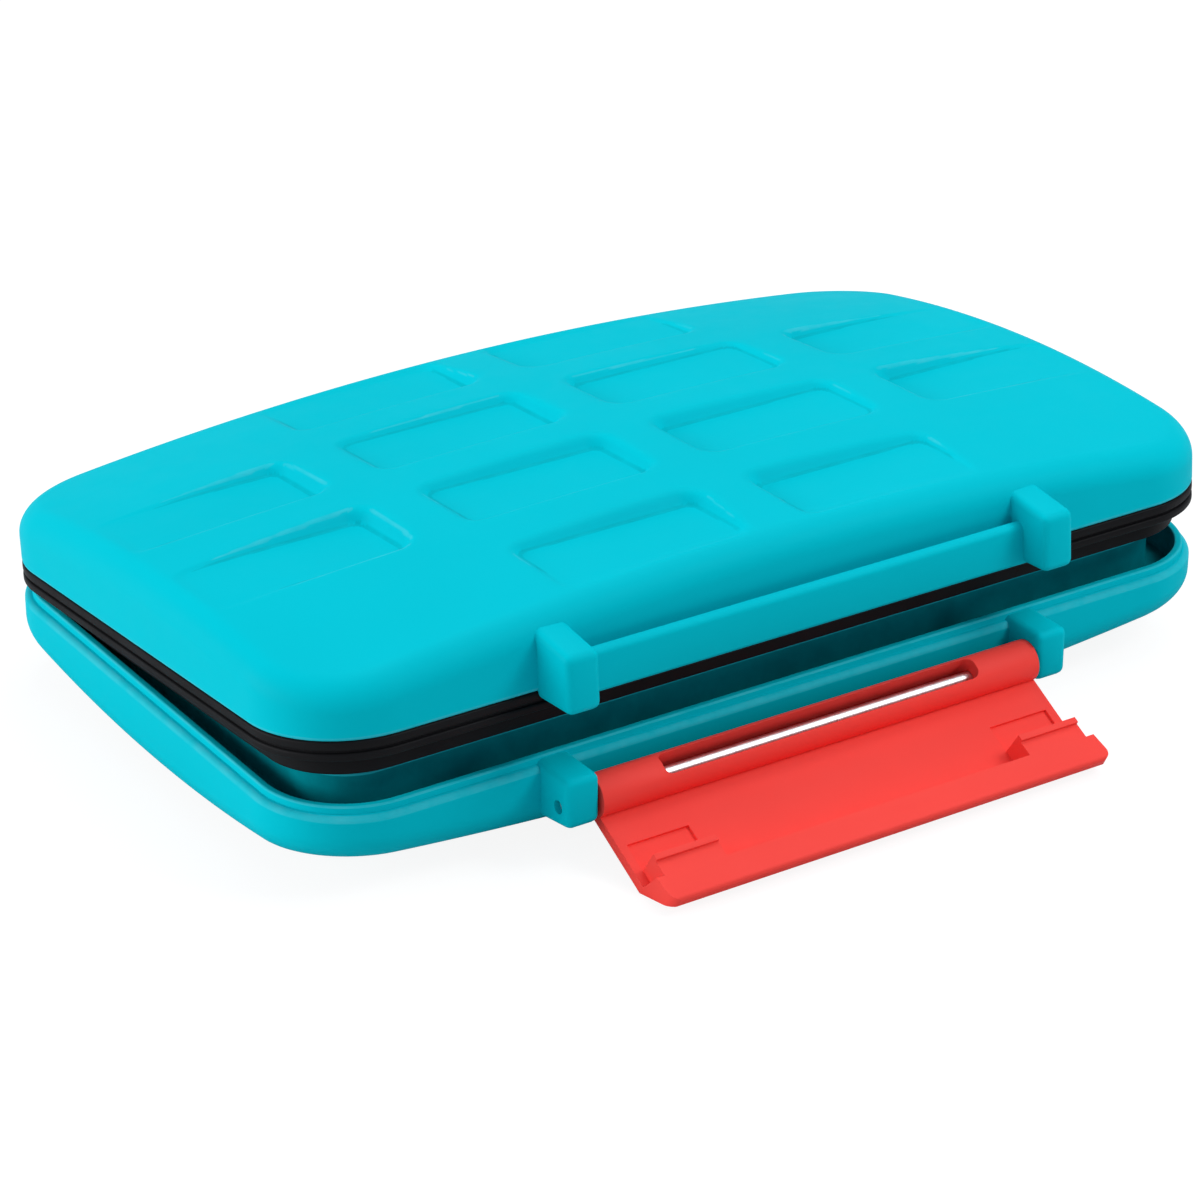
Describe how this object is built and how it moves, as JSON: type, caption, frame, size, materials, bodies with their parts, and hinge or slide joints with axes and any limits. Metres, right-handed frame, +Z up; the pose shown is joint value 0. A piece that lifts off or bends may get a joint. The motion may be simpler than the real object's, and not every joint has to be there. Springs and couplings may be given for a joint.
{
  "type": "memory card case",
  "caption": "Hard two-shell memory card case with domed recessed lid, black rim seal, rear pin hinge, hinged front latch and a rubber card tray; lid shown ajar",
  "frame": {"origin": "middle of the flat on the underside of the base, on the floor, at the centre of the shell outline", "axes": "+X along the case to the right as seen from the latch, +Y back to the hinge, +Z up"},
  "size_m": [0.1412, 0.1135, 0.0339],
  "materials": {
    "teal_plastic": "satin moulded",
    "red_plastic": "satin moulded",
    "seal_rubber": "matt",
    "tray_rubber": "matt",
    "pin_steel": "turned"
  },
  "bodies": {
    "base": {"base_shell": "teal_plastic", "base_card_tray": "tray_rubber", "latch_pin": "pin_steel", "hinge_pin_left": "pin_steel", "hinge_pin_right": "pin_steel"},
    "lid": {"lid_shell": "teal_plastic", "lid_seal": "seal_rubber", "lid_card_pad": "tray_rubber"},
    "latch": {"latch": "red_plastic"}
  },
  "joints": [
    {"name": "lid_hinge", "type": "hinge", "parent": "base", "child": "lid", "pos_m": [0, 0.0461, 0.01397], "axis": [-1, 0, 0], "range_deg": [-4.21, 165]},
    {"name": "latch_hinge", "type": "hinge", "parent": "base", "child": "latch", "pos_m": [0, -0.0465, 0.0085], "axis": [-1, 0, 0], "range_deg": [-62, 113.3]}
  ]
}
